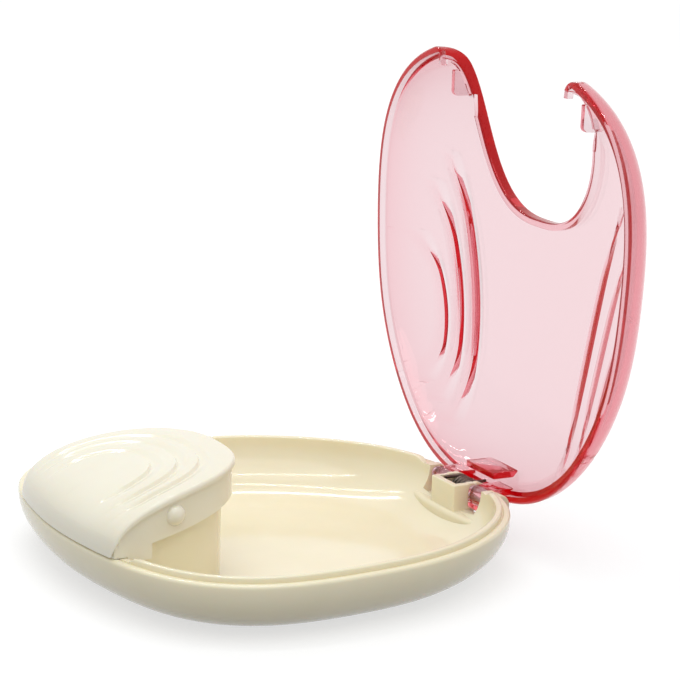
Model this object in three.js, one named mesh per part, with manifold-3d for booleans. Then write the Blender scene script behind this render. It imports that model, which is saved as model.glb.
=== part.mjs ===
// Push-button retainer case: a round ivory tray, a translucent red lid that springs open on a
// rear hinge, and an ivory button that fills the lid's notch at the front.
// Millimetres, +Z up. X runs along the hinge, the button is at -Y and the hinge at +Y. The origin
// is the middle of the tray's foot, on the surface it stands on. The lid is drawn closed and then
// turned to its open stop.

import * as THREE from "three";
import { mergeVertices } from "three/addons/utils/BufferGeometryUtils.js";
import Module from "manifold-3d";

const wasm = await Module();
wasm.setup();

// Plan outline: a round with a few waves in it, straighter at the back and fuller at the front
const plan_radius = 50.35;
const taper_share = -0.032;
const width_share = 0.019;
const cheek_share = -0.039;
const square_share = -0.032;
const hip_share = -0.004;
const back_share = 0.007;

// Heights and walls
const rim_height = 12.6;
const foot_share = 0.643;
const bowl_power = 2.12;
const dome_height = 14;
const dome_power = 2.48;
const wall = 2;
const lid_wall = 1.5;
const gap = 0.3;
const rim_round = 0.45;

// Rim lip that locates the lid, and the rabbet round the lid's mouth that goes over it
const ledge_width = 1.8;
const lip_width = 1.3;
const lip_height = 1.1;
const lip_start_x = 26;
const lip_end_reach = 3.5;
const rabbet_width = 0.9;
const rabbet_depth = 1.4;

// Notch in the lid, and the button that fills it
const corner_angle = -62.4;
const notch_length = 34.5;
const notch_power_y = 2.43;
const notch_power_x = 2.63;
const notch_rib_width = 1.5;
const notch_rib_depth = 0.8;
const horn_trim = 1.2;
const horn_round = 3;
const horn_foot_width = 1.9;
const horn_foot_length = 3.6;
const horn_foot_height = 1.5;
const button_side_gap = 0.35;
const button_tip_gap = 0.95;
const cap_wall = 1.8;
const cap_edge = 1.2;
const skirt_inset = 0.5;
const skirt_wall = 1.5;
const skirt_rise = 4.8;
const skirt_slope = 0.2;
const skirt_slope_reach = 21.2;
const ridge_height = 0.25;
const ridge_width = 2.4;
const ridge_root = 0.4;
const ridge_end_share = 0.1;
const ridge_fade_power = 0.7;
const button_ridges = [
  { side: 4.9, tip: 7.6 },
  { side: 8.1, tip: 12 },
  { side: 12.4, tip: 17.1 },
];

// Button pivot
const pivot_reach = 4.7;
const pivot_rise = 1.9;
const trunnion_radius = 1.3;
const ear_radius = 2.9;
const leg_reach = 3.8;
const leg_front = 1.4;
const leg_drop = 2.8;

// Nubs on the button's skirt, and the lid's recesses and tabs for them
const nub_reach_back = 13.6;
const nub_rise = 7;
const nub_radius = 2.2;
const nub_reach = 1.65;
const recess_depth = 1.8;
const recess_length = 5;
const recess_rise = 9;
const tab_reach_back = 8.8;
const tab_length = 5.6;
const tab_depth = 3.4;
const tab_wall = 1.3;
const tab_round = 1.2;

// Guide wall under the button
const guide_gap = 0.45;
const guide_wall = 1.5;
const guide_rise = 0.6;

// Return spring under the button, on a post
const return_reach = 18.2;
const return_radius = 2.3;
const return_wire = 0.6;
const return_turns = 6;
const post_radius = 1.7;
const post_rise = 2.4;
const post_foot_radius = 3.4;
const post_foot_drop = 0.6;
const stud_length = 2;

// Hinge
const hinge_inset = 0.984;
const hinge_drop = 2.85;
const open_angle = 90.5;
const pin_radius = 1.2;
const block_half_width = 4.7;
const block_front = 6;
const block_drop = 0.1;
const block_round = 2.75;
const pocket_half_width = 3.4;
const pocket_front = 4.7;
const pocket_ledge_front = 3.1;
const pocket_gap = 0.35;
const arm_width = 5.4;
const arm_radius = 2.6;
const arm_front = 2.6;
const arm_corner = 1.2;
const slot_front = 4.4;
const shelf_front = 7;
const shelf_half_width = 24;
const shelf_round = 1;
const cheek_width = 3;
const cheek_radius = 2.5;
const slab_half_width = 5.65;
const slab_front = 4.8;
const slab_wall = 1.4;

// Torsion spring round the hinge pin
const torsion_radius = 2.4;
const torsion_wire = 0.7;
const torsion_turns = 5;
const torsion_half_length = 2.8;
const torsion_front_reach = 3.9;
const torsion_back_reach = 3;
const leg_notch_width = 1.5;

// Crescent flutes on the lid: a steep step, deepest in the middle of its length, and a slow rise
// back to the dome. As shares of the plan radius, where each comes nearest the middle, how it bows
// away from it and where it starts and ends, and how deep it is as a share of the deepest
const crescent_shares = [
  { near_x: 0.393, near_y: 0.655, bow: 4.57, start_y: -0.4, end_y: 0.775, depth: 1 },
  { near_x: 0.5025, near_y: 0.616, bow: 3.376, start_y: -0.26, end_y: 0.7, depth: 0.85 },
  { near_x: 0.606, near_y: 0.516, bow: 1.49, start_y: -0.02, end_y: 0.63, depth: 0.65 },
];
const crescent_depth = 1.1;
const crescent_flank = 0.4;
const crescent_width = 5;
const crescent_power = 0.6;

// Fineness of the curves
const plan_steps = 64;
const rise_steps = 8;
const curve_steps = 16;
const flute_steps = 3;
const round_sides = 20;
const coil_steps = 8;
const coil_sides = 5;
const steep_share = 0.7;
const weld = 0.0001;
const big = 70;

const lid_base = rim_height + gap;
const lip_inset = ledge_width + lip_width;
const corner = outline(THREE.MathUtils.degToRad(corner_angle));
const notch_tip_y = corner.y + notch_length;
const skirt_slope_y = corner.y + skirt_slope_reach;
const skirt_height = rim_height + skirt_rise;
const pivot_y = corner.y + pivot_reach;
const pivot_height = rim_height + pivot_rise;
const nub_y = corner.y + nub_reach_back;
const nub_height = rim_height + nub_rise;
const recess_height = rim_height + recess_rise;
const tab_y = corner.y + tab_reach_back;
const return_y = corner.y + return_reach;
const post_height = rim_height + post_rise;
const post_foot_height = rim_height - post_foot_drop;
const hinge_y = outline(Math.PI / 2).y - hinge_inset;
const hinge_height = rim_height - hinge_drop;
const slot_floor = hinge_height - arm_radius - gap;
const skirt_back_inset = skirt_inset + skirt_wall;
const guide_inset = skirt_back_inset + guide_gap;
const slot_half_out = block_half_width + arm_width + 2 * gap;

const ivory = { color: 0xf3ead6, roughness: 0.25, metalness: 0 };
const red = { color: 0xd8404f, roughness: 0.12, metalness: 0, transparent: true, opacity: 0.6 };
const steel = { color: 0x8f8f92, roughness: 0.3, metalness: 1 };
const dark_steel = { color: 0x3a3a3d, roughness: 0.35, metalness: 1 };

// Point of the plan outline at an angle, moved inward by an inset
function outline(angle, inset = 0) {
  const radius = plan_radius * (1 + wave(angle));
  const turn = plan_radius * waveSlope(angle);
  const along = new THREE.Vector2(
    turn * Math.cos(angle) - radius * Math.sin(angle),
    turn * Math.sin(angle) + radius * Math.cos(angle),
  ).normalize();
  return new THREE.Vector2(
    radius * Math.cos(angle) - inset * along.y,
    radius * Math.sin(angle) + inset * along.x,
  );
}

function wave(angle) {
  return taper_share * Math.sin(angle) + width_share * Math.cos(2 * angle)
    + cheek_share * Math.sin(3 * angle) + square_share * Math.cos(4 * angle)
    + hip_share * Math.cos(6 * angle) + back_share * Math.sin(7 * angle);
}

function waveSlope(angle) {
  return taper_share * Math.cos(angle) - 2 * width_share * Math.sin(2 * angle)
    + 3 * cheek_share * Math.cos(3 * angle) - 4 * square_share * Math.sin(4 * angle)
    - 6 * hip_share * Math.sin(6 * angle) + 7 * back_share * Math.cos(7 * angle);
}

function ring(inset, share, height) {
  return Array.from({ length: plan_steps }, (_, i) => {
    const p = outline((2 * Math.PI * i) / plan_steps, inset);
    return new THREE.Vector3(p.x * share, p.y * share, height);
  });
}

// Closed body through a stack of rings, with a flat cap on each end
function loft(rings) {
  const count = rings[0].length;
  const points = rings.flat();
  const faces = [];
  for (let r = 0; r + 1 < rings.length; r += 1) {
    for (let i = 0; i < count; i += 1) {
      const a = r * count + i;
      const b = r * count + ((i + 1) % count);
      faces.push(a, b, b + count, a, b + count, a + count);
    }
  }
  for (const r of [0, rings.length - 1]) {
    const middle = points.length;
    points.push(rings[r].reduce((sum, p) => sum.add(p), new THREE.Vector3()).divideScalar(count));
    for (let i = 0; i < count; i += 1) {
      const pair = [r * count + i, r * count + ((i + 1) % count)];
      faces.push(...(r ? pair : pair.reverse()), middle);
    }
  }
  const geometry = new THREE.BufferGeometry().setFromPoints(points);
  geometry.setIndex(faces);
  return solid(geometry);
}

function solid(geometry) {
  const bare = geometry.clone();
  bare.deleteAttribute("normal");
  bare.deleteAttribute("uv");
  const merged = mergeVertices(bare, weld);
  const mesh = new wasm.Mesh({
    numProp: 3,
    vertProperties: Float32Array.from(merged.attributes.position.array),
    triVerts: Uint32Array.from(merged.index.array),
  });
  return new wasm.Manifold(mesh);
}

const join = (first, ...others) => others.reduce((sum, body) => sum.add(body), first);
const cut = (first, ...others) => others.reduce((rest, body) => rest.subtract(body), first);

function block(x0, x1, y0, y1, z0, z1) {
  const geometry = new THREE.BoxGeometry(x1 - x0, y1 - y0, z1 - z0);
  geometry.translate((x0 + x1) / 2, (y0 + y1) / 2, (z0 + z1) / 2);
  return solid(geometry);
}

// Bar along X
function barX(radius, x0, x1, y, z, sides = round_sides) {
  const geometry = new THREE.CylinderGeometry(radius, radius, x1 - x0, sides);
  geometry.rotateZ(Math.PI / 2);
  geometry.translate((x0 + x1) / 2, y, z);
  return solid(geometry);
}

function post(radius, x, y, z0, z1) {
  const geometry = new THREE.CylinderGeometry(radius, radius, z1 - z0, round_sides);
  geometry.rotateX(Math.PI / 2);
  geometry.translate(x, y, (z0 + z1) / 2);
  return solid(geometry);
}

function extrusion(points, depth) {
  return new THREE.ExtrudeGeometry(new THREE.Shape(points), { depth, bevelEnabled: false });
}

// Upright prism of a plan shape
function prism(points, z0, z1) {
  const geometry = extrusion(points, z1 - z0);
  geometry.translate(0, 0, z0);
  return solid(geometry);
}

// Prism along X of a shape drawn in Y and Z
function prismX(points, x0, x1) {
  const geometry = extrusion(points, x1 - x0);
  const axes = [new THREE.Vector3(0, 1, 0), new THREE.Vector3(0, 0, 1), new THREE.Vector3(1, 0, 0)];
  geometry.applyMatrix4(new THREE.Matrix4().makeBasis(...axes));
  geometry.translate(x0, 0, 0);
  return solid(geometry);
}

function mirror(body) {
  return body.mirror([1, 0, 0]);
}

const both = (body) => join(body, mirror(body));

// Rings of the bowl, from its flat foot up to the rim
function bowl(inset, foot, rim, share) {
  return Array.from({ length: rise_steps + 1 }, (_, i) => {
    const angle = (Math.PI / 2) * (1 - i / rise_steps);
    const reach = share + (1 - share) * Math.cos(angle) ** (2 / bowl_power);
    const height = rim - (rim - foot) * Math.sin(angle) ** (2 / bowl_power);
    return ring(inset, reach, height);
  });
}

// Closed body under the lid's dome, drawn in by an inset and lowered at its crown by a depth,
// with straight sides down to a floor
function dome(inset = 0, depth = 0, floor = lid_base) {
  const rings = Array.from({ length: rise_steps }, (_, i) => {
    const angle = (Math.PI / 2) * (i / rise_steps);
    const height = (dome_height - depth) * Math.sin(angle) ** (2 / dome_power);
    return ring(inset, Math.cos(angle) ** (2 / dome_power), lid_base + height);
  });
  const skirt_ring = floor < lid_base ? [ring(inset, 1, floor)] : [];
  return loft([...skirt_ring, ...rings, ring(inset, 1 / plan_steps, lid_base + dome_height - depth)]);
}

// Height over a plan point of the dome, or of one drawn in by an inset and lowered by a depth
function domeTop(x, y, inset = 0, depth = 0) {
  const angle = Math.atan2(y, x);
  const share = Math.min(1, Math.hypot(x, y) / (outline(angle).length() - inset));
  return lid_base + (dome_height - depth) * (1 - share ** dome_power) ** (1 / dome_power);
}

// Half of the notch curve, from the corner to the tip, as plan points
function notchCurve(side_inset, tip_inset) {
  return Array.from({ length: curve_steps + 1 }, (_, i) => {
    const share = 1 - (1 - i / curve_steps) ** 2;
    const half = (corner.x - side_inset) * (1 - share ** notch_power_y) ** (1 / notch_power_x);
    return new THREE.Vector2(half, corner.y + (notch_tip_y - tip_inset - corner.y) * share);
  });
}

function notchShape(side_inset, tip_inset) {
  const right = notchCurve(side_inset, tip_inset);
  const left = right.slice(0, -1).reverse().map((p) => new THREE.Vector2(-p.x, p.y));
  const half = corner.x - side_inset;
  return [new THREE.Vector2(-half, -big), new THREE.Vector2(half, -big), ...right, ...left];
}

function notchPrism(side_inset, tip_inset) {
  return prism(notchShape(side_inset, tip_inset), -gap, big);
}

// Prism of the button's outline, drawn in by an inset
function buttonPrism(inset) {
  return notchPrism(button_side_gap + inset, button_tip_gap + inset);
}

function skirtLine(y, rise = 0) {
  return skirt_height + rise + skirt_slope * (y - skirt_slope_y);
}

// Everything under the sloping line of the skirt's bottom edge
function underSkirtLine(rise) {
  const corners = [[-big, -gap], [0, -gap], [0, skirtLine(0, rise)], [-big, skirtLine(-big, rise)]];
  return prismX(corners.map(([y, z]) => new THREE.Vector2(y, z)), -big, big);
}

function outerBowl() {
  return loft([...bowl(0, 0, rim_height - rim_round, foot_share), ring(rim_round, 1, rim_height)]);
}

function baseTray() {
  const inner = loft([...bowl(lip_inset, wall, rim_height, foot_share), ring(lip_inset, 1, big)]);
  const shell = cut(join(outerBowl(), rimLip()), inner);
  const inside = join(guideWall(), returnPost(), hingeBlock(), hingeShelf(), hingeCheeks());
  return cut(join(shell, inside), hingeCuts());
}

// Raised lip inside the lid's wall, left out where the button and the hinge are
function rimLip() {
  const top = rim_height + lip_height;
  const band = loft([
    ring(ledge_width, 1, rim_height - wall),
    ring(ledge_width, 1, top - gap),
    ring(ledge_width + gap, 1, top),
  ]);
  const end_x = slot_half_out + lip_end_reach;
  const button_part = block(-lip_start_x, lip_start_x, -big, 0, rim_height, big);
  return cut(band, button_part, block(-end_x, end_x, 0, big, rim_height, big));
}

// U-shaped wall that the button's skirt slides over, with an ear for each trunnion
function guideWall() {
  const inside = join(
    loft(bowl(wall, wall / 2, rim_height, foot_share)),
    block(-corner.x, corner.x, pivot_y - ear_radius, 0, rim_height / 2, big / 2),
  );
  const band = cut(buttonPrism(guide_inset), buttonPrism(guide_inset + guide_wall));
  const half = corner.x - button_side_gap - guide_inset;
  const ear = barX(ear_radius, half - guide_wall, half, pivot_y, pivot_height);
  const hole = barX(trunnion_radius + gap, half - 2 * guide_wall, half + guide_wall, pivot_y, pivot_height);
  const walls = band.intersect(underSkirtLine(guide_rise)).intersect(inside);
  return cut(join(walls, both(ear)), both(hole));
}

function returnPost() {
  const foot = post(post_foot_radius, 0, return_y, wall / 2, post_foot_height);
  return join(foot, post(post_radius, 0, return_y, wall, post_height));
}

function hingeBlock() {
  const x = block_half_width;
  const top = rim_height - block_drop;
  const front = block(-x, x, hinge_y - block_front, big, wall, top).intersect(outerBowl());
  return join(front, barX(block_round, -x, x, hinge_y, hinge_height));
}

// Low crescent shelf along the wall in front of the slots, level with their floors
function hingeShelf() {
  const layer = (inset, height) => Array.from({ length: curve_steps + 1 }, (_, i) => {
    const angle = Math.PI * (1 + i / curve_steps);
    const x = (shelf_half_width - inset) * Math.cos(angle);
    return new THREE.Vector3(x, hinge_y + (shelf_front - inset) * Math.sin(angle), height);
  });
  const edge = [0, Math.PI / 4, Math.PI / 2].map((turn) => {
    const rise = shelf_round * (1 - Math.sin(turn));
    return layer(shelf_round * (1 - Math.cos(turn)), slot_floor - rise);
  });
  return loft([layer(0, wall), ...edge]).intersect(outerBowl());
}

// Cheeks outside the slots, which hold the ends of the hinge pin
function hingeCheeks() {
  const x0 = slot_half_out;
  const x1 = x0 + cheek_width;
  const web = block(x0, x1, hinge_y - cheek_radius, big, wall, rim_height).intersect(outerBowl());
  return both(join(web, barX(cheek_radius, x0, x1, hinge_y, hinge_height)));
}

function hingeCuts() {
  const arm_reach = Math.hypot(arm_front - arm_corner, arm_radius - arm_corner) + arm_corner;
  const slot = join(
    block(block_half_width, slot_half_out, hinge_y - slot_front, big, slot_floor, big),
    barX(arm_reach + gap, block_half_width, slot_half_out, hinge_y, hinge_height),
  );
  const x = pocket_half_width;
  const pocket_floor = hinge_height - torsion_radius - torsion_wire / 2 - pocket_gap;
  const pocket = block(-x, x, hinge_y - pocket_ledge_front, big, pocket_floor, big);
  const ledge_back = hinge_y - pocket_ledge_front + gap;
  const ledge = block(-x, x, hinge_y - pocket_front, ledge_back, hinge_height + pin_radius, big);
  const bore_end = slot_half_out + cheek_width - gap;
  const bore = barX(pin_radius + gap, -bore_end, bore_end, hinge_y, hinge_height);
  return join(both(slot), pocket, ledge, bore);
}

function pushButton() {
  const skin = dome();
  const edge = cut(skin.intersect(buttonPrism(0)), dome(cap_edge, cap_edge, 0));
  const crown = cut(skin, dome(cap_wall, cap_wall, 0)).intersect(buttonPrism(skirt_inset));
  return join(edge, crown, skirt(skin), stud(skin), buttonRidges(), nubs());
}

function skirt(skin) {
  const band = cut(buttonPrism(skirt_inset), buttonPrism(skirt_back_inset));
  const half = corner.x - button_side_gap - skirt_back_inset;
  const leg_top = lid_base + leg_drop;
  const legs = block(
    -big, big, pivot_y - leg_front, pivot_y + leg_reach, pivot_height - leg_drop, leg_top,
  );
  const chin = block(-big, big, corner.y + cap_wall, pivot_y, lid_base, leg_top);
  const upper = join(cut(band, underSkirtLine(0)), band.intersect(chin)).intersect(skin);
  const trunnion = barX(trunnion_radius, half - guide_wall - gap, half + gap, pivot_y, pivot_height);
  return join(upper, band.intersect(legs), both(trunnion));
}

// Short stud inside the cap that the return spring sits round
function stud(skin) {
  const top = domeTop(0, return_y);
  return post(post_radius, 0, return_y, top - cap_wall - stud_length, top).intersect(skin);
}

function nubs() {
  const geometry = new THREE.SphereGeometry(nub_radius, round_sides, round_sides / 2);
  geometry.translate(skirtSideX(nub_y) + nub_reach - nub_radius, nub_y, nub_height);
  return both(solid(geometry));
}

// Half width of the skirt's outer face at a distance along the button
function skirtSideX(y) {
  return notchHalfWidth(y, button_side_gap + skirt_inset, button_tip_gap + skirt_inset);
}

function notchHalfWidth(y, side_inset, tip_inset) {
  const share = (y - corner.y) / (notch_tip_y - tip_inset - corner.y);
  return (corner.x - side_inset) * (1 - share ** notch_power_y) ** (1 / notch_power_x);
}

// Thin raised ridge over the dome along a plan path, tapering to nothing at its ends
function ridge(path, height, width) {
  const rings = path.map((p, i) => {
    const before = path[Math.max(0, i - 1)];
    const after = path[Math.min(path.length - 1, i + 1)];
    const side = new THREE.Vector2(before.y - after.y, after.x - before.x).normalize();
    const fade = Math.max(ridge_end_share, Math.sin((Math.PI * i) / (path.length - 1)) ** ridge_fade_power);
    const at = (share, rise) => {
      const x = p.x + (side.x * share * width * fade) / 2;
      const y = p.y + (side.y * share * width * fade) / 2;
      return new THREE.Vector3(x, y, domeTop(x, y) + rise);
    };
    return [at(0, height * fade), at(-1, -ridge_root), at(1, -ridge_root)];
  });
  return loft(rings);
}

function buttonRidges() {
  const ridges = button_ridges.map(({ side, tip }) => {
    const right = notchCurve(button_side_gap + side, button_tip_gap + tip).slice(1);
    const left = right.slice(0, -1).reverse().map((p) => new THREE.Vector2(-p.x, p.y));
    return ridge([...right, ...left], ridge_height, ridge_width);
  });
  return join(...ridges);
}

function lid() {
  const skin = cut(dome(), flutes(0, 0));
  const inner_inset = lid_wall + rabbet_width;
  const hollow = cut(dome(inner_inset, wall, 0), flutes(inner_inset, wall));
  const rabbet = loft([ring(lid_wall, 1, rim_height), ring(lid_wall, 1, lid_base + rabbet_depth)]);
  const shell = cut(skin, hollow, rabbet);
  const inside = join(
    notchRib(skin), hornFeet(skin), slab(skin), latchTabs(skin), hingeArms(skin),
  );
  const front = block(-big, big, -big, corner.y + horn_trim, 0, big);
  return cut(join(shell, inside), notchPrism(0, 0), nubRecesses(), lidBores(), front, hornCorners());
}

// Thicker foot at the rim inside each horn's end
function hornFeet(skin) {
  const end = corner.y + horn_trim + horn_foot_length;
  const top = lid_base + horn_foot_height;
  const foot = block(corner.x - gap, corner.x + horn_foot_width, corner.y, end, lid_base, top);
  return both(foot.intersect(skin));
}

// What rounds the corner between each horn's trimmed end and the notch
function hornCorners() {
  const y = corner.y + horn_trim;
  const x = corner.x + horn_round;
  const square = block(corner.x - gap, x, y - gap, y + horn_round, 0, big);
  return both(cut(square, post(horn_round, x, y + horn_round, -gap, big + gap)));
}

function notchRib(skin) {
  const hollow = dome(lid_wall + rabbet_width + notch_rib_depth, wall + notch_rib_depth, 0);
  const band = notchPrism(-notch_rib_width, -notch_rib_width);
  return cut(skin, hollow).intersect(band);
}

// Plate inside the lid, just in front of the hinge block
function slab(skin) {
  const front = hinge_y - slab_front;
  const x = slab_half_width;
  return block(-x, x, front, front + slab_wall, lid_base, big).intersect(skin);
}

function latchTabs(skin) {
  const x = notchHalfWidth(tab_y, 0, 0) + notch_rib_width;
  const bottom = domeTop(x, tab_y) - wall - tab_depth;
  const start = tab_y - tab_length / 2;
  const end = tab_y + tab_length / 2;
  const tab = join(
    block(x, x + tab_wall, start, end, bottom + tab_round, big),
    block(x, x + tab_wall, start, end - tab_round, bottom, big),
    barX(tab_round, x, x + tab_wall, end - tab_round, bottom + tab_round),
  );
  return both(tab.intersect(skin));
}

function nubRecesses() {
  const x = notchHalfWidth(nub_y, 0, 0);
  const start = nub_y - recess_length / 2;
  return both(block(x - wall, x + recess_depth, start, start + recess_length, rim_height, recess_height));
}

// The two arms that reach down round the hinge pin
function hingeArms(skin) {
  const x0 = block_half_width + gap;
  const x1 = x0 + arm_width;
  const front = hinge_y - arm_front;
  const back = hinge_y + arm_radius;
  const low = hinge_height - arm_radius;
  const eye = join(
    barX(arm_radius, x0, x1, hinge_y, hinge_height),
    barX(arm_corner, x0, x1, front + arm_corner, low + arm_corner),
    barX(arm_corner, x0, x1, back - arm_corner, low + arm_corner),
    block(x0, x1, front + arm_corner, back - arm_corner, low, hinge_height),
    block(x0, x1, front, back, low + arm_corner, hinge_height),
  );
  const neck = block(x0, x1, front, hinge_y + arm_front / 2, hinge_height, lid_base);
  const core = block(x0, x1, front, hinge_y, hinge_height, lid_base + wall / 2);
  const root = block(x0, x1, front, big, lid_base, lid_base + wall).intersect(skin);
  return both(join(eye, neck, core, root));
}

function lidBores() {
  const bore = barX(pin_radius + gap, -slot_half_out, slot_half_out, hinge_y, hinge_height);
  const reach = Math.hypot(torsion_radius, torsion_back_reach) + torsion_wire / 2 + gap;
  const x0 = torsion_half_length - leg_notch_width / 2;
  return join(bore, barX(reach, x0, x0 + leg_notch_width, hinge_y, hinge_height));
}

// Bodies that cut the flutes into the dome, or into one drawn in by an inset and lowered
function flutes(inset, depth) {
  const right = crescent_shares.map((shares) => flute(shares, inset, depth));
  return both(join(...right));
}

function flute(shares, inset, depth) {
  const rings = Array.from({ length: curve_steps + 1 }, (_, i) => {
    const along = i / curve_steps;
    const y = plan_radius * (shares.start_y + (shares.end_y - shares.start_y) * along);
    const from_near = y - plan_radius * shares.near_y;
    const x = plan_radius * shares.near_x + from_near ** 2 / (plan_radius * shares.bow);
    const fade = Math.sin(Math.PI * along) ** crescent_power;
    const deep = crescent_depth * shares.depth * fade;
    const at = (out, rise) => new THREE.Vector3(x + out, y, domeTop(x + out, y, inset, depth) + rise);
    const ramp = Array.from({ length: flute_steps + 1 }, (_, k) => {
      const share = k / flute_steps;
      return at(crescent_flank + crescent_width * share, weld - deep * Math.cos((Math.PI / 2) * share));
    });
    const far_x = x + crescent_flank + crescent_width;
    const top = [new THREE.Vector3(x, y, big), new THREE.Vector3(far_x, y, big)];
    return [...top, ...ramp.reverse(), at(0, weld)];
  });
  return loft(rings);
}

function hingePin() {
  const half = slot_half_out + cheek_width - 2 * gap;
  return barX(pin_radius, -half, half, hinge_y, hinge_height);
}

// Round wire through a list of centre points
function wire(points, radius) {
  const rings = points.map((p, i) => {
    const before = points[Math.max(0, i - 1)];
    const after = points[Math.min(points.length - 1, i + 1)];
    const along = new THREE.Vector3().subVectors(after, before).normalize();
    const side = new THREE.Vector3(1, 0, 0);
    if (Math.abs(along.x) > steep_share) {
      side.set(0, 0, 1);
    }
    side.addScaledVector(along, -side.dot(along)).normalize();
    const up = new THREE.Vector3().crossVectors(along, side);
    return Array.from({ length: coil_sides }, (_, k) => {
      const angle = (2 * Math.PI * k) / coil_sides;
      const point = p.clone().addScaledVector(side, radius * Math.cos(angle));
      return point.addScaledVector(up, radius * Math.sin(angle));
    });
  });
  return loft(rings);
}

// Least gap between points of a coil that are at least half a turn apart along it
function coilGap(points, width, name) {
  let least = Infinity;
  points.forEach((p, i) => {
    points.slice(i + coil_steps / 2).forEach((q) => {
      least = Math.min(least, p.distanceTo(q) - width);
    });
  });
  console.log(`${name}: least gap to itself ${least.toFixed(2)} mm`);
}

function torsionPoints() {
  const steps = torsion_turns * coil_steps;
  const turns = Array.from({ length: steps + 1 }, (_, i) => {
    const angle = Math.PI / 2 - (2 * Math.PI * i) / coil_steps;
    return new THREE.Vector3(
      torsion_half_length * ((2 * i) / steps - 1),
      hinge_y + torsion_radius * Math.cos(angle),
      hinge_height + torsion_radius * Math.sin(angle),
    );
  });
  const top = hinge_height + torsion_radius;
  const front = new THREE.Vector3(-torsion_half_length, hinge_y - torsion_front_reach, top);
  const back = new THREE.Vector3(torsion_half_length, hinge_y + torsion_back_reach, top);
  return [front, ...turns, back];
}

function returnPoints() {
  const start = post_foot_height + gap + return_wire / 2;
  const end = domeTop(0, return_y + return_radius) - cap_wall - gap - return_wire;
  const steps = return_turns * coil_steps;
  return Array.from({ length: steps + 1 }, (_, i) => {
    const angle = (2 * Math.PI * i) / coil_steps;
    return new THREE.Vector3(
      return_radius * Math.cos(angle),
      return_y + return_radius * Math.sin(angle),
      start + ((end - start) * i) / steps,
    );
  });
}

function coil(points, width, name) {
  coilGap(points, width, name);
  return wire(points, width / 2);
}

function node(name, body, look) {
  const { vertProperties, triVerts, numProp } = body.getMesh();
  const geometry = new THREE.BufferGeometry();
  geometry.setAttribute("position", new THREE.BufferAttribute(vertProperties, numProp));
  geometry.setIndex(new THREE.BufferAttribute(triVerts, 1));
  const flat = geometry.toNonIndexed();
  flat.computeVertexNormals();
  const mesh = new THREE.Mesh(flat, new THREE.MeshStandardMaterial(look));
  mesh.name = name;
  return mesh;
}

// Turn a lid drawn closed to its open stop about the hinge pin
function opened(mesh) {
  const swing = new THREE.Group();
  swing.position.set(0, hinge_y, hinge_height);
  swing.rotation.x = -THREE.MathUtils.degToRad(open_angle);
  mesh.position.set(0, -hinge_y, -hinge_height);
  swing.add(mesh);
  return swing;
}

const retainer_case = new THREE.Group();
retainer_case.add(node("base_tray", baseTray(), ivory));
retainer_case.add(node("push_button", pushButton(), ivory));
retainer_case.add(opened(node("lid", lid(), red)));
retainer_case.add(node("hinge_pin", hingePin(), steel));
retainer_case.add(node("lid_spring", coil(torsionPoints(), torsion_wire, "lid_spring"), dark_steel));
retainer_case.add(node("return_spring", coil(returnPoints(), return_wire, "return_spring"), steel));

export default retainer_case;
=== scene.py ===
"""Push-button retainer case: ivory tray, translucent red lid open on its rear hinge, ivory button.

Lengths are in millimetres and each finished piece is scaled to metres. X runs along the hinge, the
button is at -Y and the hinge at +Y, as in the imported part. The lid is built closed, then turned to
its open stop.
"""

import math

import bmesh
import bpy
from mathutils import Matrix, Vector


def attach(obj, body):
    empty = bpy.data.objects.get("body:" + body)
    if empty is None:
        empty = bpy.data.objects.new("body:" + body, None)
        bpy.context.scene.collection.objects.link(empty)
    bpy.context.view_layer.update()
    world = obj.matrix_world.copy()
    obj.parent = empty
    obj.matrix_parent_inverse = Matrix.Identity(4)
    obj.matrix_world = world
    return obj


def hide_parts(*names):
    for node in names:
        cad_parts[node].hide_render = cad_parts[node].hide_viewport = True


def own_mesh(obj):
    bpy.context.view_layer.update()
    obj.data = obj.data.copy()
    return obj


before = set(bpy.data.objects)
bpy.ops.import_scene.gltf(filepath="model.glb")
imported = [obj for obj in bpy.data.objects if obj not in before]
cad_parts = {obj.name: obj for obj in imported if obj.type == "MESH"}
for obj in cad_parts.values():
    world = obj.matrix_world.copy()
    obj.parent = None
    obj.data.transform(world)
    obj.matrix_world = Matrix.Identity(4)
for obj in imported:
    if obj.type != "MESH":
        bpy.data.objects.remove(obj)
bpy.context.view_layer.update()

MM = 0.001

# Plan outline: a round with a few waves in it
PLAN_RADIUS = 50.35
TAPER = -0.032
WIDTH = 0.019
CHEEK = -0.039
SQUARE = -0.032
HIP = -0.004
BACK = 0.007

# Heights and walls
RIM = 12.6
FOOT_SHARE = 0.643
BOWL_POWER = 2.12
DOME_HEIGHT = 14.0
DOME_POWER = 2.48
WALL = 2.0
LID_WALL = 1.5
LID_PLATE = 1.5
GAP = 0.3
LID_BASE = RIM + GAP

# Rim of the tray
RIM_ROUND = 0.7
LEDGE_WIDTH = 1.8
GROOVE_WIDTH = 0.45
GROOVE_DEPTH = 0.25
LIP_WIDTH = 1.3
LIP_HEIGHT = 1.1
LIP_ROUND = 0.42
LIP_START_X = 26.0
LIP_FADE = 1.6
LIP_END_REACH = 3.5
LIP_INSET = LEDGE_WIDTH + LIP_WIDTH

# Rim of the lid
LID_ROUND = 0.75
RABBET_WIDTH = 0.9
RABBET_DEPTH = 1.4
LID_INSET = LID_WALL + RABBET_WIDTH

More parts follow.
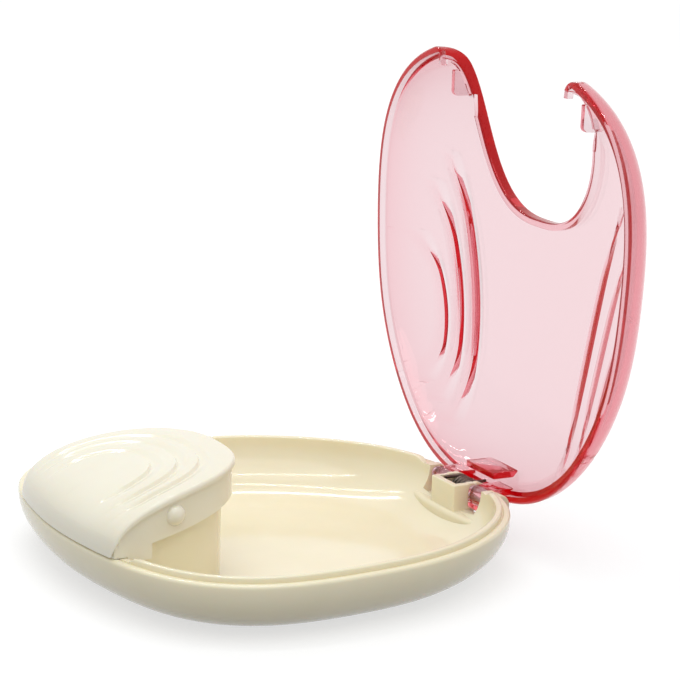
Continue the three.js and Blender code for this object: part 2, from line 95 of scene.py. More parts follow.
# Notch and button
CORNER_ANGLE = math.radians(-62.4)
NOTCH_LENGTH = 34.5
NOTCH_POWER_Y = 2.43
NOTCH_POWER_X = 2.63
NOTCH_ROUND = 0.55
RIB_WIDTH = 1.5
RIB_DEPTH = 0.8
HORN_TRIM = 1.2
HORN_ROUND = 3.0
HORN_FOOT_WIDTH = 1.9
HORN_FOOT_LENGTH = 3.6
HORN_FOOT_HEIGHT = 1.5
HORN_FOOT_LAP = 1.0
HORN_FOOT_EDGE = 0.25
SIDE_GAP = 0.35
TIP_GAP = 0.95
CAP_EDGE = 1.2
CAP_ROUND = 0.7
CAP_WALL = 1.8
CAP_CORNER = 1.2
CAP_SIDE = 3.0
SKIRT_INSET = 0.5
SKIRT_WALL = 1.5
SKIRT_RISE = 4.8
SKIRT_SLOPE = 0.2
SKIRT_REACH = 21.2
CHIN_GAP = 0.12
BUTTON_LINES = ((4.9, 7.6), (8.1, 12.0), (12.4, 17.1))
LINE_DEPTH = 0.6
LINE_STEP = 0.45
LINE_RUN = 2.6
LINE_FADE = 9.0
CAP_MIDDLE = 0.8
CAP_MIDDLE_TIP = 3.0
FRONT_DRAW = 0.9
FRONT_SPREAD = 1.0

# Button pivot, nubs, tabs and recesses
PIVOT_REACH = 4.7
PIVOT_RISE = 1.9
TRUNNION_RADIUS = 1.3
EAR_RADIUS = 2.9
LEG_REACH = 3.8
LEG_FRONT = 1.4
LEG_DROP = 2.8
NUB_REACH = 13.6
NUB_RISE = 7.0
NUB_RADIUS = 2.2
NUB_OUT = 1.65
RECESS_DEPTH = 1.8
RECESS_LENGTH = 5.0
RECESS_RISE = 9.0
RECESS_EDGE = 0.3
TAB_REACH = 8.8
TAB_LENGTH = 5.6
TAB_DEPTH = 3.4
TAB_WALL = 1.3
TAB_ROUND = 1.2
TAB_CORNER = 0.3
TAB_EDGE = 0.2

# Guide wall and return spring
GUIDE_GAP = 0.45
GUIDE_WALL = 1.5
GUIDE_RISE = 0.6
RETURN_REACH = 18.2
RETURN_RADIUS = 2.3
RETURN_WIRE = 0.6
RETURN_TURNS = 6
POST_RADIUS = 1.7
POST_RISE = 2.4
POST_FOOT = 3.4
POST_DROP = 0.6

# Hinge
HINGE_INSET = 0.984
HINGE_DROP = 2.85
OPEN_ANGLE = math.radians(90.5)
PIN_RADIUS = 1.2
PIN_EDGE = 0.2
BLOCK_HALF = 4.7
BLOCK_FRONT = 6.0
BLOCK_DROP = 0.1
BLOCK_ROUND = 2.75
BLOCK_EDGE = 0.3
POCKET_HALF = 3.4
POCKET_FRONT = 4.7
POCKET_LEDGE = 3.1
POCKET_GAP = 0.35
ARM_WIDTH = 5.4
ARM_RADIUS = 2.6
ARM_FRONT = 2.6
ARM_CORNER = 1.2
ARM_TURN = 60
ARM_EDGE = 0.25
SLOT_FRONT = 4.4
SHELF_FRONT = 7.0
SHELF_HALF = 24.0
SHELF_ROUND = 1.0
CHEEK_WIDTH = 3.0
CHEEK_RADIUS = 2.5
CHEEK_EDGE = 0.4
SLAB_HALF = 5.65
SLAB_FRONT = 4.8
SLAB_WALL = 1.4
SLAB_EDGE = 0.15

# Torsion spring round the hinge pin
TORSION_RADIUS = 2.4
TORSION_WIRE = 0.7
TORSION_TURNS = 5
TORSION_HALF = 2.8
TORSION_FRONT = 3.9
TORSION_BACK = 3.0
LEG_NOTCH = 1.5

# Crescent flutes on the lid, as shares of the plan radius: where each comes nearest the middle, how
# it bows away from it, where it starts and ends, and how deep it is as a share of the deepest. Its
# steep flank is narrow along the middle and widens by the soft width towards both ends.
CRESCENTS = (
    {"near_x": 0.393, "near_y": 0.655, "bow": 4.57, "start": -0.4, "end": 0.775, "depth": 1.0},
    {"near_x": 0.5025, "near_y": 0.616, "bow": 3.376, "start": -0.26, "end": 0.7, "depth": 0.85},
    {"near_x": 0.606, "near_y": 0.516, "bow": 1.49, "start": -0.02, "end": 0.63, "depth": 0.65},
)
CRESCENT_DEPTH = 1.1
CRESCENT_FLANK = 0.3
CRESCENT_SOFT = 2.2
CRESCENT_CLEAR = 0.8
CRESCENT_WIDTH = 5.0
CRESCENT_POWER = 0.4

# Fineness, small steps and the angles over which edges stay sharp
CROWN_SHARE = 0.02
FLOOR_SHARES = (0.97, 0.8, 0.4, 0.1)
HALVINGS = 24
PLAN_STEPS = 240
RISE_STEPS = 36
ROUND_STEPS = 6
EDGE_STEPS = 3
ARC_STEPS = 8
NOTCH_STEPS = 72
FRONT_STEPS = 36
SIDE_STEPS = 12
CAP_ROUND_STEPS = 8
CAP_STEPS = (22, 16, 20, 26)
CAP_SKIP = 4
FLUTE_STEPS = 64
RAMP_STEPS = 10
BAR_SIDES = 48
COIL_STEPS = 36
WIRE_SIDES = 14
WELD = 0.001
POINT_GAP = 0.00002
BIG = 70.0
SMOOTH_ANGLE = math.radians(32)
FLUTE_ANGLE = math.radians(18)


def outline(angle, inset=0.0):
    """Point of the plan outline at an angle, moved inward by an inset."""
    wave = (TAPER * math.sin(angle) + WIDTH * math.cos(2 * angle) + CHEEK * math.sin(3 * angle)
            + SQUARE * math.cos(4 * angle) + HIP * math.cos(6 * angle) + BACK * math.sin(7 * angle))
    slope = (TAPER * math.cos(angle) - 2 * WIDTH * math.sin(2 * angle)
             + 3 * CHEEK * math.cos(3 * angle) - 4 * SQUARE * math.sin(4 * angle)
             - 6 * HIP * math.sin(6 * angle) + 7 * BACK * math.cos(7 * angle))
    radius = PLAN_RADIUS * (1 + wave)
    turn = PLAN_RADIUS * slope
    cosine, sine = math.cos(angle), math.sin(angle)
    along = Vector((turn * cosine - radius * sine, turn * sine + radius * cosine)).normalized()
    return Vector((radius * cosine - inset * along.y, radius * sine + inset * along.x))


CORNER = outline(CORNER_ANGLE)
NOTCH_TIP = CORNER.y + NOTCH_LENGTH
PIVOT_Y = CORNER.y + PIVOT_REACH
PIVOT_Z = RIM + PIVOT_RISE
NUB_Y = CORNER.y + NUB_REACH
NUB_Z = RIM + NUB_RISE
TAB_Y = CORNER.y + TAB_REACH
RETURN_Y = CORNER.y + RETURN_REACH
HINGE_Y = outline(math.pi / 2).y - HINGE_INSET
HINGE_Z = RIM - HINGE_DROP
SKIRT_IN = SKIRT_INSET + SKIRT_WALL
GUIDE_INSET = SKIRT_IN + GUIDE_GAP
SLOT_OUT = BLOCK_HALF + ARM_WIDTH + 2 * GAP
SLOT_FLOOR = HINGE_Z - ARM_RADIUS - GAP
HORN_Y = CORNER.y + HORN_TRIM


# Bodies and booleans

def body_from(points, faces):
    """Mesh object in the scene from points and faces."""
    mesh = bpy.data.meshes.new("body")
    mesh.from_pydata([tuple(p) for p in points], [], faces)
    body = bpy.data.objects.new("body", mesh)
    bpy.context.scene.collection.objects.link(body)
    return body


def loft(rings):
    """Closed body through a stack of rings, with a cap on each end."""
    count = len(rings[0])
    points = [p for ring_points in rings for p in ring_points]
    faces = []
    for r in range(len(rings) - 1):
        for i in range(count):
            a, b = r * count + i, r * count + (i + 1) % count
            faces.append((a, b, b + count, a + count))
    last = (len(rings) - 1) * count
    faces.append(tuple(reversed(range(count))))
    faces.append(tuple(range(last, last + count)))
    return body_from(points, faces)


def apply_modifiers(body):
    """Works a body's modifiers into its mesh."""
    depsgraph = bpy.context.evaluated_depsgraph_get()
    mesh = bpy.data.meshes.new_from_object(body.evaluated_get(depsgraph))
    old = body.data
    body.modifiers.clear()
    body.data = mesh
    bpy.data.meshes.remove(old)
    return body


def boolean(body, others, operation):
    """Works other bodies into a body one after the other, and removes them."""
    for other in others:
        modifier = body.modifiers.new("boolean", "BOOLEAN")
        modifier.operation = operation
        modifier.solver = "MANIFOLD"
        modifier.object = other
    apply_modifiers(body)
    for other in others:
        mesh = other.data
        bpy.data.objects.remove(other)
        bpy.data.meshes.remove(mesh)
    return body


def join(first, *others):
    return boolean(first, others, "UNION")


def cut(first, *others):
    return boolean(first, others, "DIFFERENCE")


def meet(first, *others):
    return boolean(first, others, "INTERSECT")


def ring(inset, share, height):
    """The plan outline at a height, drawn in by an inset and then scaled to a share."""
    points = []
    for i in range(PLAN_STEPS):
        p = outline(2 * math.pi * i / PLAN_STEPS, inset)
        points.append((p.x * share, p.y * share, height))
    return points


def prism(plan, z0, z1):
    """Upright prism of a plan, between two heights."""
    return loft([[(x, y, z0) for x, y in plan], [(x, y, z1) for x, y in plan]])


def prism_x(profile, x0, x1, edge=0.0):
    """Prism along X of a shape in Y and Z, counter-clockwise from +X, with round end edges."""
    if not edge:
        return loft([[(x, y, z) for y, z in profile] for x in (x0, x1)])
    count = len(profile)
    inward = []
    for i in range(count):
        before, after = Vector(profile[i - 1]), Vector(profile[(i + 1) % count])
        here = Vector(profile[i])
        first, second = (here - before).normalized(), (after - here).normalized()
        inward.append((Vector((-first.y, first.x)) + Vector((-second.y, second.x))).normalized())
    turn = [math.pi / 2 * k / EDGE_STEPS for k in range(EDGE_STEPS + 1)]
    steps = [(x0 + edge * (1 - math.cos(t)), edge * (1 - math.sin(t))) for t in turn]
    steps += [(x1 - edge * (1 - math.sin(t)), edge * (1 - math.cos(t))) for t in turn]
    return loft([[(x, y + n.x * d, z + n.y * d) for (y, z), n in zip(profile, inward)]
                 for x, d in steps])


def arc(x, y, radius, start, end):
    """Points of an arc in a plane, from one angle in degrees to another."""
    angles = [math.radians(start + (end - start) * k / ARC_STEPS) for k in range(ARC_STEPS + 1)]
    return [(x + radius * math.cos(a), y + radius * math.sin(a)) for a in angles]


def round_box(x0, x1, y0, y1, z0, z1, radius=0.0):
    """Box, with its edges rounded where a radius is given."""
    plan = [(x0, y0), (x1, y0), (x1, y1), (x0, y1)]
    body = prism(plan, z0, z1)
    if radius:
        mesh = bmesh.new()
        mesh.from_mesh(body.data)
        bmesh.ops.bevel(mesh, geom=mesh.edges, offset=radius, segments=EDGE_STEPS, profile=0.5,
                        affect="EDGES", clamp_overlap=True)
        mesh.to_mesh(body.data)
        mesh.free()
    return body


def bar_x(radius, x0, x1, y, z, edge=0.0):
    """Round bar along X, with its end edges rounded where an edge radius is given."""
    steps = [(x0, radius), (x1, radius)]
    if edge:
        turn = [math.pi / 2 * k / ROUND_STEPS for k in range(ROUND_STEPS + 1)]
        start = [(x0 + edge - edge * math.cos(t), radius - edge + edge * math.sin(t)) for t in turn]
        end = [(x1 - edge + edge * math.sin(t), radius - edge + edge * math.cos(t)) for t in turn]
        steps = start + end
    rings = []
    for x, r in steps:
        angles = [2 * math.pi * k / BAR_SIDES for k in range(BAR_SIDES)]
        rings.append([(x, y + r * math.cos(a), z + r * math.sin(a)) for a in angles])
    return loft(rings)


def post(radius, x, y, z0, z1):
    """Upright round post between two heights."""
    angles = [2 * math.pi * k / BAR_SIDES for k in range(BAR_SIDES)]
    return prism([(x + radius * math.cos(a), y + radius * math.sin(a)) for a in angles], z0, z1)


def ball(radius, x, y, z):
    """Ball round a centre."""
    rings = []
    for k in range(1, BAR_SIDES // 2):
        tilt = math.pi * k / (BAR_SIDES // 2)
        r, h = radius * math.sin(tilt), -radius * math.cos(tilt)
        angles = [2 * math.pi * i / BAR_SIDES for i in range(BAR_SIDES)]
        rings.append([(x + r * math.cos(a), y + r * math.sin(a), z + h) for a in angles])
    return loft(rings)


def mirrored(make, *values):
    """A body and its mirror image across X = 0."""
    right, left = make(*values), make(*values)
    left.data.transform(Matrix.Scale(-1, 4, (1, 0, 0)))
    left.data.flip_normals()
    return [right, left]


def tube(path, radius):
    """Round wire through a list of centre points."""
    rings = []
    up = Vector((0, 0, 1))
    for i, p in enumerate(path):
        along = (path[min(i + 1, len(path) - 1)] - path[max(i - 1, 0)]).normalized()
        side = along.cross(up)
        side = side.normalized() if side.length > WELD else Vector((1, 0, 0))
        up = side.cross(along).normalized()
        angles = [2 * math.pi * k / WIRE_SIDES for k in range(WIRE_SIDES)]
        rings.append([p + (side * math.cos(a) - up * math.sin(a)) * radius for a in angles])
    return loft(rings)


# Forms that several pieces share

def bowl(inset, foot, rim, share):
    """Rings of the bowl, from its flat foot up to the rim."""
    rings = []
    for i in range(RISE_STEPS + 1):
        angle = math.pi / 2 * (1 - i / RISE_STEPS)
        reach = share + (1 - share) * math.cos(angle) ** (2 / BOWL_POWER)
        rings.append(ring(inset, reach, rim - (rim - foot) * math.sin(angle) ** (2 / BOWL_POWER)))
    return rings


def dome_rings(inset=0.0, depth=0.0, first=0):
    """Rings of the lid's dome from its base up, drawn in by an inset and lowered by a depth."""
    rings = []
    for i in range(first, RISE_STEPS):
        angle = math.pi / 2 * i / RISE_STEPS
        height = (DOME_HEIGHT - depth) * math.sin(angle) ** (2 / DOME_POWER)
        rings.append(ring(inset, math.cos(angle) ** (2 / DOME_POWER), LID_BASE + height))
    return rings + [ring(inset, CROWN_SHARE, LID_BASE + DOME_HEIGHT - depth)]


def dome(inset=0.0, depth=0.0, floor=LID_BASE):
    """The dome as a closed body, with a straight skirt down to a floor that lies under it."""
    skirt = [ring(inset, 1, floor)] if floor < LID_BASE else []
    return loft(skirt + dome_rings(inset, depth))


def dome_top(x, y, inset=0.0, depth=0.0):
    """Height of the dome at a plan point."""
    angle = math.atan2(y, x)
    share = min(1.0, math.hypot(x, y) / (outline(angle).length - inset))
    return LID_BASE + (DOME_HEIGHT - depth) * (1 - share ** DOME_POWER) ** (1 / DOME_POWER)


def notch_half(y, side_inset, tip_inset):
    """Half of the notch's width at a place along it."""
    share = min(1.0, max(0.0, (y - CORNER.y) / (NOTCH_TIP - tip_inset - CORNER.y)))
    return (CORNER.x - side_inset) * (1 - share ** NOTCH_POWER_Y) ** (1 / NOTCH_POWER_X)


def notch_curve(side_inset, tip_inset, steps=NOTCH_STEPS):
    """Half of the notch curve, from the corner to the tip, as plan points."""
    points = []
    for i in range(steps + 1):
        turn = math.pi / 2 * i / steps
        half = (CORNER.x - side_inset) * math.cos(turn) ** (2 / NOTCH_POWER_X)
        y = CORNER.y + (NOTCH_TIP - tip_inset - CORNER.y) * math.sin(turn) ** (2 / NOTCH_POWER_Y)
        points.append((half if i < steps else 0.0, y))
    return points


def notch_plan(side_inset, tip_inset, front=-BIG):
    """Closed plan of the notch, open to the front as far as a line."""
    right = notch_curve(side_inset, tip_inset)
    left = [(-x, y) for x, y in reversed(right[:-1])]
    half = CORNER.x - side_inset
    return [(-half, front), (half, front)] + right + left


def notch_prism(side_inset, tip_inset, z0=-GAP, z1=BIG):
    return prism(notch_plan(side_inset, tip_inset), z0, z1)


def button_prism(inset, z0=-GAP, z1=BIG):
    """Prism of the button's plan, drawn in by an inset."""
    return notch_prism(SIDE_GAP + inset, TIP_GAP + inset, z0, z1)


def under_skirt_line(rise):
    """All that lies under the skirt's slanted lower edge, or a rise above it."""
    def line(y):
        return RIM + SKIRT_RISE + rise + SKIRT_SLOPE * (y - CORNER.y - SKIRT_REACH)
    return prism_x([(-BIG, -GAP), (0, -GAP), (0, line(0)), (-BIG, line(-BIG))], -BIG, BIG)


# Tray

def smooth_step(value):
    """Soft rise from 0 to 1 as a value goes from 0 to 1."""
    share = min(1.0, max(0.0, value))
    return share * share * (3 - 2 * share)


def lip_share(point):
    """How much of the lip's height stands at a plan point: none at the button and the hinge."""
    start = LIP_START_X if point[1] < 0 else SLOT_OUT + LIP_END_REACH
    return smooth_step((abs(point[0]) - start) / LIP_FADE + 0.5)


def lip_ring(inset, rise):
    """Ring at the tray's rim, raised where the lip stands."""
    points = ring(inset, 1, RIM)
    return [(x, y, z + rise * lip_share((x, y))) for x, y, z in points]


def tray_shell():
    """Outer bowl, rim, groove, lip and inner bowl in one closed loft."""
    quarter = [math.pi / 2 * k / ROUND_STEPS for k in range(1, ROUND_STEPS + 1)]
    rings = bowl(0, 0, RIM - RIM_ROUND, FOOT_SHARE)
    rings += [ring(RIM_ROUND * (1 - math.cos(t)), 1, RIM - RIM_ROUND * (1 - math.sin(t)))
              for t in quarter]
    rings.append(ring(LEDGE_WIDTH - GROOVE_WIDTH, 1, RIM))
    rings.append(ring(LEDGE_WIDTH - GROOVE_WIDTH / 2, 1, RIM - GROOVE_DEPTH))
    rings.append(ring(LEDGE_WIDTH - WELD, 1, RIM - GROOVE_DEPTH))
    low = LIP_HEIGHT - LIP_ROUND
    rings.append(lip_ring(LEDGE_WIDTH, low))
    rings += [lip_ring(LEDGE_WIDTH + LIP_ROUND * (1 - math.cos(t)), low + LIP_ROUND * math.sin(t))
              for t in quarter]
    rings += [lip_ring(LIP_INSET - LIP_ROUND * (1 - math.sin(t)), low + LIP_ROUND * math.cos(t))
              for t in [0.0] + quarter[:-1]]
    rings.append(lip_ring(LIP_INSET, low))
    inner = bowl(LIP_INSET, WALL, RIM, FOOT_SHARE)
    rings += list(reversed(inner))
    rings += [ring(LIP_INSET, FOOT_SHARE * share, WALL) for share in FLOOR_SHARES]
    return loft(rings)


def outer_bowl():
    return loft(bowl(0, 0, RIM - RIM_ROUND, FOOT_SHARE) + [ring(RIM_ROUND, 1, RIM)])


def guide_wall():
    """Wall round the button's inside, with its two pivot ears."""
    inside = join(
        loft(bowl(WALL, WALL / 2, RIM, FOOT_SHARE)),
        round_box(-CORNER.x, CORNER.x, PIVOT_Y - EAR_RADIUS, 0, RIM / 2, BIG / 2),
    )
    band = cut(button_prism(GUIDE_INSET), button_prism(GUIDE_INSET + GUIDE_WALL, -1, BIG + 1))
    walls = meet(band, under_skirt_line(GUIDE_RISE), inside)
    half = CORNER.x - SIDE_GAP - GUIDE_INSET
    ears = mirrored(bar_x, EAR_RADIUS, half - GUIDE_WALL, half, PIVOT_Y, PIVOT_Z)
    holes = mirrored(bar_x, TRUNNION_RADIUS + GAP, half - 2 * GUIDE_WALL, half + GUIDE_WALL,
                     PIVOT_Y, PIVOT_Z)
    return cut(join(walls, *ears), *holes)


def hinge_block():
    """Block between the arms, round behind the pin."""
    x = BLOCK_HALF
    front = round_box(-x, x, HINGE_Y - BLOCK_FRONT, BIG, WALL / 2, RIM - BLOCK_DROP, BLOCK_EDGE)
    return join(meet(front, outer_bowl()), bar_x(BLOCK_ROUND, -x, x, HINGE_Y, HINGE_Z, BLOCK_EDGE))


def cheek():
    """Outer bearing of the pin, on the right."""
    x0, x1 = SLOT_OUT, SLOT_OUT + CHEEK_WIDTH
    web = meet(round_box(x0, x1, HINGE_Y - CHEEK_RADIUS, BIG, WALL, RIM), outer_bowl())
    return join(web, bar_x(CHEEK_RADIUS, x0, x1, HINGE_Y, HINGE_Z, CHEEK_EDGE))


def shelf():
    """Low crescent shelf along the wall in front of the slots, level with their floors."""
    def layer(inset, height):
        turns = [math.pi * (1 + k / NOTCH_STEPS) for k in range(NOTCH_STEPS + 1)]
        return [((SHELF_HALF - inset) * math.cos(t), HINGE_Y + (SHELF_FRONT - inset) * math.sin(t),
                 height) for t in turns]

    quarter = [math.pi / 2 * k / ROUND_STEPS for k in range(ROUND_STEPS + 1)]
    edge = [layer(SHELF_ROUND * (1 - math.cos(t)), SLOT_FLOOR - SHELF_ROUND * (1 - math.sin(t)))
            for t in quarter]
    return meet(loft([layer(0, WALL)] + edge), outer_bowl())


def slot():
    """Room for the right-hand arm, all the way round its turn."""
    reach = math.hypot(ARM_FRONT - ARM_CORNER, ARM_RADIUS - ARM_CORNER) + ARM_CORNER + GAP
    upper = round_box(BLOCK_HALF, SLOT_OUT, HINGE_Y - SLOT_FRONT, BIG, SLOT_FLOOR, BIG)
    return join(upper, bar_x(reach, BLOCK_HALF, SLOT_OUT, HINGE_Y, HINGE_Z))


def pocket():
    """Open pocket for the torsion spring, with a ledge in front for its leg."""
    x = POCKET_HALF
    floor = HINGE_Z - TORSION_RADIUS - TORSION_WIRE / 2 - POCKET_GAP
    deep = round_box(-x, x, HINGE_Y - POCKET_LEDGE, BIG, floor, BIG)
    back = HINGE_Y - POCKET_LEDGE + GAP
    return [deep, round_box(-x, x, HINGE_Y - POCKET_FRONT, back, HINGE_Z + PIN_RADIUS, BIG)]


def tray():
    end = SLOT_OUT + CHEEK_WIDTH - GAP
    body = join(
        tray_shell(), guide_wall(), hinge_block(), shelf(), *mirrored(cheek),
        post(POST_FOOT, 0, RETURN_Y, WALL / 2, RIM - POST_DROP),
        post(POST_RADIUS, 0, RETURN_Y, WALL, RIM + POST_RISE),
    )
    bore = bar_x(PIN_RADIUS + GAP, -end, end, HINGE_Y, HINGE_Z)
    return cut(body, *mirrored(slot), *pocket(), bore)


# Button

def front_point(half, share, inset):
    """Point of the front outline at a share of a half width."""
    goal = half * share
    low, high = -math.pi / 2 - FRONT_SPREAD, -math.pi / 2 + FRONT_SPREAD
    for _ in range(HALVINGS):
        middle = (low + high) / 2
        if outline(middle, inset).x < goal:
            low = middle
        else:
            high = middle
    return goal, outline(low, inset).y


def cap_side(side, tip, base):
    """Right-hand side of the cap's plan, from a base up to the tip."""
    end = NOTCH_TIP - TIP_GAP - tip
    half = CORNER.x - SIDE_GAP - side
    first = math.asin(((base - CORNER.y) / (end - CORNER.y)) ** (NOTCH_POWER_Y / 2))
    points = []
    for i in range(NOTCH_STEPS):
        turn = first + (math.pi / 2 - first) * i / NOTCH_STEPS
        points.append((half * math.cos(turn) ** (2 / NOTCH_POWER_X),
                       CORNER.y + (end - CORNER.y) * math.sin(turn) ** (2 / NOTCH_POWER_Y)))
    return points + [(0.0, end)]


def round_corner(line, corner, reach):
    """Line with the corner at an index rounded over a reach on both sides of it."""
    middle = Vector(line[corner])
    before = middle + (Vector(line[corner - 2]) - middle).normalized() * reach
    after = middle + (Vector(line[corner + 1]) - middle).normalized() * reach
    out = []
    for i, point in enumerate(line):
        away = (Vector(point) - middle).length
        if away < reach:
            t = 0.5 + (away if i > corner else -away) / reach / 2
            point = tuple(before * (1 - t) ** 2 + middle * 2 * t * (1 - t) + after * t ** 2)
        out.append(point)
    return out


def cap_plan(side, tip, front_share):
    """Closed plan line of the cap, drawn in at its sides and tip, and its front at a share."""
    half = CORNER.x - SIDE_GAP - side
    shares = [math.sin(math.pi / 2 * k / FRONT_STEPS) for k in range(FRONT_STEPS + 1)]
    front = [front_point(half, share, min(side, CAP_ROUND)) for share in shares]
    front = [(x, CORNER.y + (y - CORNER.y) * front_share) for x, y in front]
    start = front[-1][1]
    base = max(CORNER.y, start) + CAP_SIDE
    heights = [start + (base - start) * k / SIDE_STEPS for k in range(1, SIDE_STEPS)]
    line = front + [(notch_half(y, SIDE_GAP + side, TIP_GAP + tip), y) for y in heights]
    line = round_corner(line + cap_side(side, tip, base), FRONT_STEPS, CAP_CORNER)
    return line[1:] + [(-x, y) for x, y in reversed(line[:-1])]


def line_drop(x, y):
    """How far the fine curved lines lower the button's top at a plan point."""
    total = 0.0
    for side, tip in BUTTON_LINES:
        a = CORNER.x - SIDE_GAP - side
        b = NOTCH_TIP - TIP_GAP - tip - CORNER.y
        u = abs(x) / a
        v = max(0.0, y - CORNER.y) / b
        level = u ** NOTCH_POWER_X + v ** NOTCH_POWER_Y
        slope = math.hypot(NOTCH_POWER_X * u ** (NOTCH_POWER_X - 1) / a,
                           NOTCH_POWER_Y * v ** (NOTCH_POWER_Y - 1) / b)
        out = (level - 1) / max(slope, WELD)
        if out < 0 or out > LINE_RUN:
            continue
        deep = LINE_DEPTH * smooth_step((y - CORNER.y) / LINE_FADE)
        if out < LINE_STEP:
            total += deep * smooth_step(out / LINE_STEP)
        else:
            total += deep * (1 - smooth_step((out - LINE_STEP) / (LINE_RUN - LINE_STEP)))
    return total


def cap_insets():
    """Side and tip insets and front share of each ring on the cap's top, from its edge inward."""
    insets = []
    for k in range(CAP_ROUND_STEPS + 1):
        d = CAP_ROUND * (1 - math.cos(math.pi / 2 * k / CAP_ROUND_STEPS))
        insets.append((d, d))
    depth = CORNER.x - SIDE_GAP - CAP_MIDDLE
    last = (depth, NOTCH_LENGTH - TIP_GAP - CAP_MIDDLE_TIP)
    stops = [(CAP_ROUND, CAP_ROUND), *BUTTON_LINES, last]
    for (s0, t0), (s1, t1), count in zip(stops[:-1], stops[1:], CAP_STEPS):
        shares = [k / count for k in range(1, count + 1)]
        insets += [(s0 + (s1 - s0) * share, t0 + (t1 - t0) * share) for share in shares]
    return [(s, t, 1 - FRONT_DRAW * smooth_step((s - CAP_ROUND) / depth)) for s, t in insets]


def cap():
    """The cap's shell: underside, edge and top in one closed loft."""
    rows = cap_insets()
    inner = [row for row in rows[::-CAP_SKIP] if row[0] > CAP_WALL + GAP]
    inner.append((CAP_WALL, CAP_WALL, 1.0))
    bottom = []
    for side, tip, share in inner:
        plan = cap_plan(side, tip, share)
        bottom.append([(x, y, dome_top(x, y, CAP_WALL, CAP_WALL)) for x, y in plan])
    edge_plan = cap_plan(0.0, 0.0, 1.0)
    under = [(x, y, max(LID_BASE, dome_top(x, y) - CAP_EDGE)) for x, y in edge_plan]
    top = []
    for side, tip, share in rows:
        plan = cap_plan(side, tip, share)
        ring_points = []
        for x, y in plan:
            d = min(side, CAP_ROUND)
            drop = CAP_ROUND - math.sqrt(max(0.0, CAP_ROUND ** 2 - (CAP_ROUND - d) ** 2))
            z = dome_top(x, y)
            drop = min(drop, (z - LID_BASE) / 2)
            ring_points.append((x, y, z - drop - line_drop(x, y)))
        top.append(ring_points)
    return loft(bottom + [under] + top)


def skirt_band():
    """Wall along the skirt's plan, at full height."""
    return cut(button_prism(SKIRT_INSET), button_prism(SKIRT_IN, -1, BIG + 1))


def skirt():
    """Skirt under the cap, with its chin at the front and its two legs down to the pivot."""
    top = LID_BASE + LEG_DROP
    legs = round_box(-BIG, BIG, PIVOT_Y - LEG_FRONT, PIVOT_Y + LEG_REACH, PIVOT_Z - LEG_DROP, top)
    chin = round_box(-BIG, BIG, -BIG, PIVOT_Y, RIM + CHIN_GAP, top)
    upper = join(cut(skirt_band(), under_skirt_line(0)), meet(skirt_band(), chin))
    return join(meet(upper, dome(CAP_EDGE / 2, CAP_EDGE / 2, 0)), meet(skirt_band(), legs))


def nub():
    x = notch_half(NUB_Y, SIDE_GAP + SKIRT_INSET, TIP_GAP + SKIRT_INSET)
    return ball(NUB_RADIUS, x + NUB_OUT - NUB_RADIUS, NUB_Y, NUB_Z)


def trunnion():
    half = CORNER.x - SIDE_GAP - SKIRT_IN
    return bar_x(TRUNNION_RADIUS, half - GUIDE_WALL - GAP, half + GAP, PIVOT_Y, PIVOT_Z, PIN_EDGE)


def button():
    return join(cap(), skirt(), *mirrored(nub), *mirrored(trunnion))


# Lid

def lid_skin():
    """The dome's outer form as a closed body, with its rim rounded."""
    quarter = [math.pi / 2 * k / ROUND_STEPS for k in range(ROUND_STEPS + 1)]
    rim = [ring(LID_ROUND * (1 - math.sin(t)), 1, LID_BASE + LID_ROUND * (1 - math.cos(t)))
           for t in quarter]
    first = 1
    while DOME_HEIGHT * math.sin(math.pi / 2 * first / RISE_STEPS) ** (2 / DOME_POWER) <= LID_ROUND:
        first += 1
    return loft(rim + dome_rings(0, 0, first))


def flute(shares, inset, depth):
    """Body that cuts a crescent flute: a step that is soft at its ends, then a slow rise back."""
    rings = []
    for i in range(FLUTE_STEPS + 1):
        along = i / FLUTE_STEPS
        y = PLAN_RADIUS * (shares["start"] + (shares["end"] - shares["start"]) * along)
        from_near = y - PLAN_RADIUS * shares["near_y"]
        x = PLAN_RADIUS * shares["near_x"] + from_near ** 2 / (PLAN_RADIUS * shares["bow"])
        fade = max(0.0, math.sin(math.pi * along))
        deep = CRESCENT_DEPTH * shares["depth"] * fade ** CRESCENT_POWER
        flank = CRESCENT_FLANK + CRESCENT_SOFT * (1 - smooth_step(fade / CRESCENT_CLEAR))
        section = [(x, y, BIG), (x + flank + CRESCENT_WIDTH, y, BIG)]
        for k in range(RAMP_STEPS, -1, -1):
            share = k / RAMP_STEPS
            px = x + flank + CRESCENT_WIDTH * share
            drop = deep * (1 + math.cos(math.pi * share)) / 2
            section.append((px, y, dome_top(px, y, inset, depth) + WELD - drop))
        section.append((x, y, dome_top(x, y, inset, depth) + WELD))
        rings.append(section)
    return loft(rings)


def flutes(inset, depth):
    bodies = []
    for shares in CRESCENTS:
        bodies += mirrored(flute, shares, inset, depth)
    return bodies


def notch_rib():
    """Thicker band along the notch's edge, inside the lid."""
    hollow = dome(LID_INSET + RIB_DEPTH, WALL + RIB_DEPTH, 0)
    return meet(cut(dome(WELD, WELD), hollow), notch_prism(-RIB_WIDTH, -RIB_WIDTH))


def slab():
    """Low plate across the lid in front of its arms."""
    front = HINGE_Y - SLAB_FRONT
    box = round_box(-SLAB_HALF, SLAB_HALF, front, front + SLAB_WALL, LID_BASE, BIG, SLAB_EDGE)
    return meet(box, dome(LID_WALL / 2, WALL / 2))


def horn_foot():
    """Thicker foot at the rim inside a horn's end."""
    end = HORN_Y + HORN_FOOT_LENGTH
    box = round_box(CORNER.x - HORN_FOOT_LAP, CORNER.x + HORN_FOOT_WIDTH, CORNER.y, end, LID_BASE,
                    LID_BASE + HORN_FOOT_HEIGHT, HORN_FOOT_EDGE)
    return meet(box, dome(WELD, WELD))


